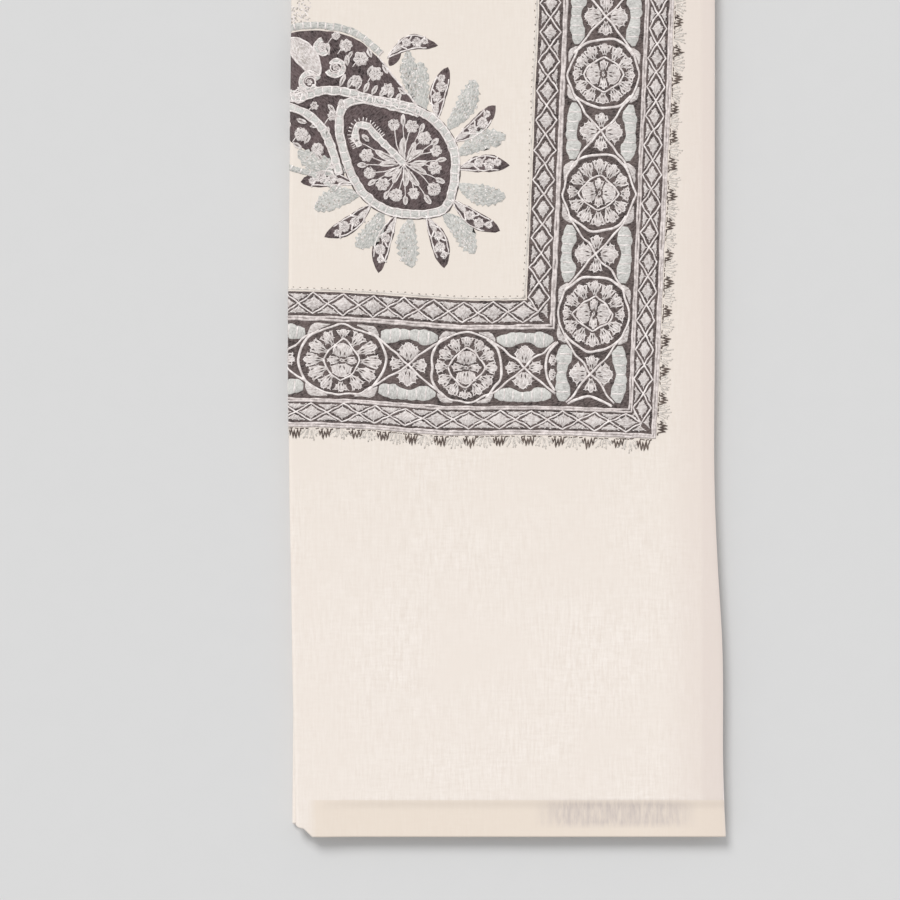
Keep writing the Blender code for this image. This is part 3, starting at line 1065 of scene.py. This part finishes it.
# ---------------------------------------------------------------------------
# The corner paisley. A dark drop with a grey banded rim holds a spray of small ragged flowers. A larger
# dark field with scrolls, an oval leaf and more flowers stands behind it, and dark and pale leaves stand
# out all round. It is worked in the threads of the border, and partly goes round the side fold.
BUTA = Vector((-0.0626, FOOT + 0.4062))  # the middle of the drop
DROP_SIZE = 0.0286
Tip = namedtuple("Tip", "turn reach breadth")
DROP_TIPS = (Tip(math.radians(137), 0.0165, 0.46), Tip(math.radians(-49), 0.0060, 0.36))  # it is an almond
RIM_WIDE = 0.0050
FLOWERS = 11
FLOWER_SIZE = 0.0041
LEAVES = 17
DARK_LEAF = (0.0335, 0.0104)  # length and width
PALE_LEAF = (0.0310, 0.0122)
LEAF_LIFT = 0.00022
SPECKS_PER_METRE = 2300  # of a pale leaf's length

# The width and the height of each kind of stitch
LINING = (0.0007, 0.0004)  # beside a band, in dark thread
BAND_EDGE = (0.0010, 0.00022)
BAND_STITCH = (0.0009, 0.0002)  # across a band
LEAF_EDGE = (0.0009, 0.00042)
LEAF_BRANCH = (0.0011, 0.00042)
FINE_STITCH = (0.0005, 0.00014)  # on a flower or a blade
FLOWER_TICK = (0.0007, 0.0001)
BLADE_TICK = (0.0006, 0.0001)
SPECK = (0.0009, 0.00018)
SET_IN = 0.00005  # how far the foot of a stitch lies below the top of the filling it is on

fillings, bars, darks, leaves, threads, ticks, specks, outlines = (Stitching() for _ in range(8))


def heading(turn):
    """A step of 1 in this direction."""
    return Vector((math.cos(turn), math.sin(turn)))


def here(x, y):
    """A place in the paisley, in millimetres from the middle of the drop."""
    return BUTA + Vector((x, y)) / 1000


def line_here(points, step=0.0014, closed=False):
    """A smooth line through places in the paisley."""
    return curve([here(*p) for p in points], step, closed)


def drop(turn, share=1.0):
    """A place on the outline of the drop, or drawn in to a share of it."""
    reach = DROP_SIZE * (1 - 0.03 * math.sin(2 * turn))
    for tip in DROP_TIPS:
        off = abs((turn - tip.turn + math.pi) % (2 * math.pi) - math.pi)
        reach += tip.reach * math.exp(-((off / tip.breadth) ** 1.4))
    return BUTA + share * reach * heading(turn)


def shifted(path, by):
    """The path moved to its left."""
    found = []
    for i, point in enumerate(path):
        found.append(point + by * way_at(path, i).orthogonal())
    return found


def ribbon(path, width, cell=0.0044, lift=PALE_LIFT, lined=True, within=None):
    """A grey band along the path, in cells with a white stitch between them. It is lined by a white and a
    dark thread on each side."""
    within = within or bars
    left, right = shifted(path, width / 2), shifted(path, -width / 2)
    run, first = 0.0, 0
    for i in range(1, len(path)):
        run += (path[i] - path[i - 1]).length
        if run >= cell or i == len(path) - 1:
            way = path[i] - path[first]
            outline = by_hand(left[first : i + 1] + right[first : i + 1][::-1], 0.0006, 0.003)
            within.patch(outline, lift, grain=math.atan2(way.y, way.x))
            across = straight([left[i].lerp(right[i], 0.04), left[i].lerp(right[i], 0.96)], 0.0015)
            threads.thread(by_hand(across, 0.0006, 0.003), *BAND_STITCH, lift - SET_IN)
            run, first = 0.0, i
    if not lined:
        return
    for side in (0.56, -0.56):
        outlines.thread(by_hand(shifted(path, side * width), 0.0006, 0.004), *LINING)
    for side in (0.44, -0.44):
        edge = by_hand(shifted(path, side * width), 0.0008, 0.003)
        threads.thread(edge, *BAND_EDGE, lift - SET_IN)


def flower(at, size, lift=PALE_LIFT):
    """A ragged round flower head, with light stitches from its heart and dark ones between them."""
    seed = next(stroke_number)
    lobes = 6 + seed % 3
    outline = []
    for k in range(26):
        t = 2 * math.pi * k / 26
        way = heading(t)
        torn = noise.noise(Vector((*(2 * way), seed)))
        outline.append(at + size * (0.80 + 0.24 * abs(math.cos(lobes * t / 2)) + 0.22 * torn) * way)
    fillings.patch(by_hand(outline, 0.0007, 0.003), lift, grain=seed)
    for k in range(lobes):
        t = 2 * math.pi * (k + 0.5) / lobes + 0.2 * seed
        way = heading(t) * size
        side = way.orthogonal() * 0.26
        for hand in (-1, 1):
            line = [at + 0.3 * way, at + 0.75 * way + hand * side, at + 0.98 * way]
            threads.thread(by_hand(line, 0.0006, 0.002), *FINE_STITCH, lift - 0.8 * SET_IN)
        ticks.fleck(at + 0.15 * way, at + 0.62 * way, *FLOWER_TICK, lift)


def stem(points, width=0.0007):
    threads.thread(by_hand(curve(points, 0.0015), 0.0005, 0.004), width, 0.0004)


def blade(start, end, width, bend=0.0):
    """A pale leaf with a dark vein, laid on a dark shape."""
    way = end - start
    outline = by_hand(leaf(start, end, width, swell=(0.7, 0.6), bend=bend), 0.0005, 0.003)
    fillings.patch(outline, PALE_LIFT, grain=math.atan2(way.y, way.x))
    threads.thread(outline[2:-1], *FINE_STITCH, PALE_LIFT - 0.8 * SET_IN)
    ticks.fleck(start.lerp(end, 0.15), start.lerp(end, 0.8), *BLADE_TICK, PALE_LIFT)


def dark_leaf(start, end, width, bend):
    """A leaf with a dark point. Pale veins divide its lower part, and three small flowers lie on it."""
    way = end - start
    side = way.orthogonal().normalized()
    outline, inner = (
        leaf(start, end, share * width, swell=(0.95, 0.75), bend=bend, steps=18) for share in (1, 0.82)
    )
    darks.patch(by_hand(outline, 0.0007, 0.004), GROUND_LIFT, grain=math.atan2(way.y, way.x))

    def on_leaf(t, off):
        return start + way * t + side * (bend * math.sin(math.pi * t) + off * width)

    stem([on_leaf(t, 0.03 * math.sin(9 * t)) for t in np.linspace(0.0, 0.84, 8)], 0.0009)
    for hand, edge in ((1, inner[:15]), (-1, [start, *inner[:-15:-1]])):
        threads.thread(by_hand(edge, 0.0006, 0.003), *LEAF_EDGE)
        for t in (0.24, 0.5, 0.74) if hand > 0 else (0.36, 0.62):
            branch = [on_leaf(t - 0.06, 0.0), on_leaf(t + 0.04, hand * 0.30), on_leaf(t + 0.05, hand * 0.44)]
            threads.thread(by_hand(branch, 0.0006, 0.003), *LEAF_BRANCH)
    for t, off, size in ((0.42, 0.06, 0.27), (0.62, -0.06, 0.31), (0.78, 0.08, 0.20)):
        flower(on_leaf(t, off), width * size)
    pale = leaf(on_leaf(0.08, 0.06), on_leaf(0.34, 0.03), width * 0.3)
    fillings.patch(by_hand(pale, 0.0005, 0.003), PALE_LIFT)


def speckle(outline, count, lift=0.0):
    """Short grey and white stitches scattered inside an outline."""
    xs, ys = [p.x for p in outline], [p.y for p in outline]
    seed = next(stroke_number)
    made = tries = 0
    while made < count and tries < 40 * count:
        tries += 1
        u, v = (0.5 + noise.noise(Vector((tries * 7.31, seed * 1.17, k * 9.7))) * 1.15 for k in (1, 2))
        p = Vector((min(xs) + u * (max(xs) - min(xs)), min(ys) + v * (max(ys) - min(ys))))
        crossed = sum(
            (a.y > p.y) != (b.y > p.y) and p.x < a.x + (b.x - a.x) * (p.y - a.y) / (b.y - a.y)
            for a, b in zip(outline, outline[1:] + outline[:1])
        )
        if crossed % 2:
            way = heading(tries * 2.4) * 0.0008
            (threads, specks)[tries % 2].fleck(p - way, p + way, *SPECK, lift)
            made += 1


def pale_leaf(start, end, width, bend):
    """A pale grey leaf without an outline, speckled all over."""
    way = end - start
    outline = leaf(start, end, width, swell=(0.8, 0.6), bend=bend, teeth=0.11, steps=18)
    outline = by_hand(outline, 0.0009, 0.003)
    leaves.patch(outline, LEAF_LIFT, grain=math.atan2(way.y, way.x))
    speckle(outline, int(way.length * SPECKS_PER_METRE), 0.0002)


# The dark field behind the drop
field = [
    (-92, 71), (-66, 77), (-48, 78), (-30, 74), (-15, 62), (-4, 48), (10, 31), (-8, 32), (-22, 34),
    (-35, 35), (-37, 20), (-37, 4), (-35, -9), (-44, -3), (-58, 6), (-73, 15), (-92, 26),
]
darks.patch(by_hand(line_here(field, 0.0025, True), 0.0006), GROUND_LIFT, grain=2.2)
top_edge = line_here(field[:5], 0.0015)
edge = line_here(field[4:7], 0.0015)
threads.thread(by_hand(shifted(edge, 0.0004), 0.0007, 0.004), 0.0012, 0.0005)
ribbon(shifted(top_edge, 0.0031), 0.0042, cell=0.0040, lift=0.00024, lined=False, within=leaves)
upper_band = (-84, 42), (-64, 38), (-48, 42), (-34, 41), (-14, 35), (10, 28.5)
lower_band = (-84, 33), (-67, 32), (-55, 26), (-47, 17), (-41.5, 4), (-38, -8)
pale_band = (-84, 2), (-68, -4), (-52, -9), (-40, -17)
ribbon(line_here(upper_band), 0.0050)
ribbon(line_here(lower_band), 0.0048)
ribbon(line_here(pale_band), 0.0034, lined=False, within=leaves)
oval = leaf(here(-69, 73), here(-50, 51), 0.0125, swell=(0.5, 0.6), bend=0.0016, steps=10)
oval = curve(oval, 0.0018, closed=True)
fillings.patch(by_hand(oval, 0.0004), PALE_LIFT, grain=-0.9)
threads.thread(by_hand(oval + oval[:1], 0.0006), 0.0013, 0.0006)
speckle(oval, 40, PALE_LIFT)

# In millimetres from the middle of the drop: scrolls with their size and first angle, flowers with their
# share of the full size, and small leaves with the way that they point
SCROLLS = (-56, 47, 6.0, 20), (-40, 56, 5.4, 200), (-48, 68, 4.4, 90), (-62, 40, 4.6, 150)
for x, y, size, first in SCROLLS:
    spiral = []
    for k in range(25):
        t = math.radians(first + 22 * k)
        reach = size * (1 - 0.025 * k)
        spiral.append(here(x + reach * math.cos(t), y + reach * math.sin(t)))
    ribbon(spiral[:15], 0.0027, cell=0.0030)
    stem(spiral[13:], 0.0010)
    flower(here(x, y), 0.0019)
FIELD_FLOWERS = (
    (-34, 69, 0.95), (-25, 61, 1.1), (-16, 52, 1.05), (-9, 43, 0.9), (-28, 48, 0.85), (-40, 75, 0.6),
    (-61, 16, 1.0), (-51, 7, 0.9), (-42, -3, 0.5), (-71, 22, 0.9), (-53, 33, 0.6), (-42, 27, 0.75),
    (-3, 36, 0.5),
)
for x, y, size in FIELD_FLOWERS:
    flower(here(x, y), FLOWER_SIZE * size)
    stem([here(x - 5, y - 5), here(x - 3, y - 2), here(x, y)])
for k in range(8):
    blade(here(-38 + 4.8 * k, 44 - 1.2 * k), here(-34.5 + 4.8 * k, 52 - 1.7 * k), 0.0024)
FIELD_BLADES = (
    (-56, 20, 20), (-64, 25, -20), (-48, 0, 130), (-66, 11, -35), (-46, 14, 80), (-45, 34, -50),
    (-59, 10, 60), (-21, 68, -70), (-12, 58, -62), (-33, 57, 96), (-21, 51, 64), (-3, 44, -40),
    (-44, 63, 110), (-30, 66, -120),
)
for x, y, turn in FIELD_BLADES:
    turn = math.radians(turn)
    blade(here(x, y), here(x + 6.5 * math.cos(turn), y + 6.5 * math.sin(turn)), 0.0024)

# The leaves round the drop. From one to the next they lean round faster than their feet go round it.
for k in range(LEAVES):
    outward = math.radians(97 - 18.6 * k)
    turn = math.radians(64 - 14.6 * k)
    foot = drop(turn) + RIM_WIDE * 0.8 * heading(turn)
    wayward = noise.noise(Vector((k * 3.3, 5.0, 1.0)))
    long, wide = DARK_LEAF if k % 2 else PALE_LEAF
    tip = foot + long * (1 + 0.25 * wayward) * heading(outward)
    bend = 0.0026 * (1 if k % 4 < 2 else -1)
    (dark_leaf if k % 2 else pale_leaf)(foot, tip, wide, bend)

# The drop, with its spray
turns = np.linspace(DROP_TIPS[0].turn, DROP_TIPS[0].turn + 2 * math.pi, 120)
rim = [drop(t) for t in turns]
darks.patch(by_hand(rim[:-1], 0.0003), GROUND_LIFT + 0.00004, grain=0.8)
ribbon(shifted(rim, -RIM_WIDE * 0.55), RIM_WIDE)
flower(rim[0] + Vector((-0.0022, 0.0024)), 0.0030)
heart = here(1.0, -2.0)
for k in range(FLOWERS):
    turn = math.radians(104 - k * 322 / FLOWERS)
    at = drop(turn, share=0.74 if k % 2 else 0.67)
    stem([heart, heart.lerp(at, 0.5) + 0.0014 * Vector((-math.sin(turn), math.cos(turn))), at])
    flower(at, FLOWER_SIZE * (1.0 if k % 3 else 0.86))
    turn -= math.radians(161 / FLOWERS)
    blade(heart.lerp(drop(turn), 0.10), heart.lerp(drop(turn), 0.50), 0.0034, bend=0.0008 * (-1) ** k)
    tuft = drop(turn, share=0.86)
    stem([heart.lerp(tuft, 0.5), heart.lerp(tuft, 0.8), tuft], 0.0006)
    blade(heart.lerp(tuft, 0.80), heart.lerp(tuft, 1.06), 0.0026)
hook = line_here([(1.0, -2.0), (-8, 7), (-15, 14), (-21, 20.5), (-26.5, 21), (-28.5, 15.5), (-26, 9)])
ribbon(hook, 0.0036, cell=0.0034)
for point, edge in list(zip(hook, shifted(hook, -0.0044)))[15:]:
    threads.thread(by_hand([point.lerp(edge, 0.5), edge], 0.0006, 0.002), 0.0007, 0.0004)
blade(here(-20, 11.5), here(-24.5, 15.5), 0.0026)

# A speckled spray stands over it, with a curved dark leaf, a bud and a pale leaf beside it
dark_leaf(here(-9, 62), here(21, 69), 0.0095, 0.0056)
darks.patch(by_hand(leaf(here(-8, 57), here(-2, 66), 0.0058, steps=12), 0.0004), GROUND_LIFT)
pale_leaf(here(7, 36), here(3, 66), 0.0092, 0.001)
for k in range(9):
    turn = math.radians(60 + 13 * k)
    tip = here(-62, 80) + (0.016 + 0.004 * (k % 3)) * heading(turn)
    speckle(leaf(here(-62, 80), tip, 0.0066, steps=8), 26)

leaf_filling = filled("pale leaf filling", tint(158, 160, 156), tint(196, 196, 191), tint(240, 236, 231))
speck_thread = twisted("grey speckle thread", tint(164, 156, 148), tint(208, 200, 192))
soft_tones = tint(26, 16, 16), tint(92, 76, 76), tint(146, 131, 131)
soft_dark = filled("soft dark filling", *soft_tones, streaks=0.5)
darks.lay("paisley_ground", soft_dark, "dark_brown_thread", cell=CELL)
leaves.lay("paisley_pale_leaves", leaf_filling, "grey_blue_thread")
bars.lay("paisley_bands", grey_filling, "grey_blue_thread")
fillings.lay("paisley_fillings", pale_filling, "pink_grey_thread")
threads.lay("paisley_threads", white_thread, "off_white_thread")
outlines.lay("paisley_outlines", dark_thread, "dark_brown_thread")
ticks.lay("paisley_ticks", dark_thread, "dark_brown_thread")
specks.lay("paisley_specks", speck_thread, "grey_blue_thread")


# ---------------------------------------------------------------------------
# The place it lies in: a plain pale floor under broad soft daylight, looked at from straight above.
VIEW = 0.54  # metres across the picture
VIEW_CENTRE = Vector((-0.0342, FOOT + 0.2326))
LENS = 85.0

bpy.ops.mesh.primitive_plane_add(size=60, location=(0, 0, 0))
floor = bpy.context.object
floor.name = "floor"
floor_material, floor_tree, floor_shader = new_material("pale floor", 0.95, 0.0)
grain = node(floor_tree, "TexNoise", node(floor_tree, "TexCoord", out=3), None, 60.0, 3.0, 0.5)
floor_colour = blend(floor_tree, grain, tint(217, 217, 217), tint(219, 219, 219))
floor_tree.links.new(floor_colour, floor_shader.inputs["Base Color"])
floor.data.materials.append(floor_material)

camera = added("camera", bpy.data.cameras.new("camera"))
camera.data.lens = LENS
camera.data.clip_start = 0.05
camera.location = (*VIEW_CENTRE, high.z + VIEW * LENS / camera.data.sensor_width)
bpy.context.scene.camera = camera

sun = added("window", bpy.data.lights.new("window", "SUN"))
sun.data.energy = 1.88
sun.data.angle = math.radians(24)
sun.rotation_euler = Vector((-0.46, 1.05, 1.05)).to_track_quat("Z", "Y").to_euler()

world = bpy.data.worlds.new("studio")
bpy.context.scene.world = world
world.use_nodes = True
world.node_tree.nodes["Background"].inputs["Color"].default_value = (1, 1, 1, 1)
world.node_tree.nodes["Background"].inputs["Strength"].default_value = 0.60
bpy.context.scene.view_settings.view_transform = "Standard"
